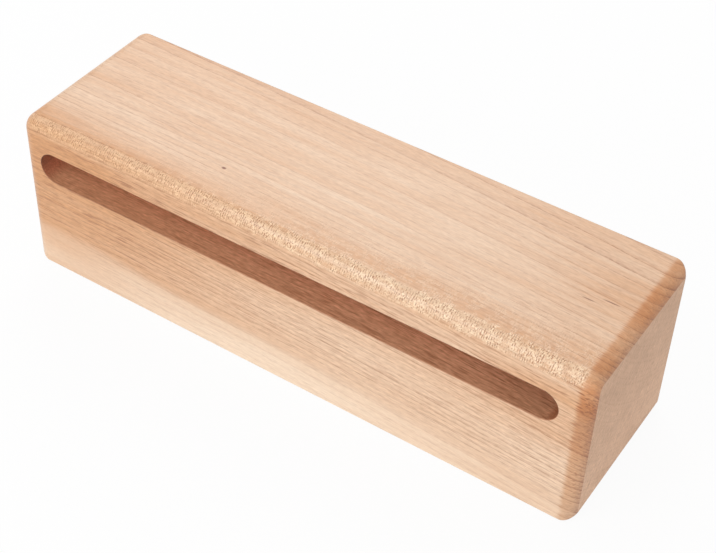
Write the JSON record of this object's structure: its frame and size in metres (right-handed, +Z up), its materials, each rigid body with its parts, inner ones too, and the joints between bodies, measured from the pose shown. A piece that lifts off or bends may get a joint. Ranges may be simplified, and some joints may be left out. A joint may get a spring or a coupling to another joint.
{
  "type": "woodblock",
  "caption": "Solid maple percussion block with a long round-ended resonance slot in its front, a rounded playing edge and rounded ends; struck on top with a mallet.",
  "frame": {"origin": "centre of the underside, on the resting plane", "axes": "+X along the block's length, -Y out of the slotted front, +Z up out of the playing face"},
  "size_m": [0.254, 0.0746, 0.0735],
  "materials": {
    "maple": "sanded hard maple with a thin satin clear coat"
  },
  "bodies": {
    "root": {"block": "maple"}
  },
  "joints": []
}
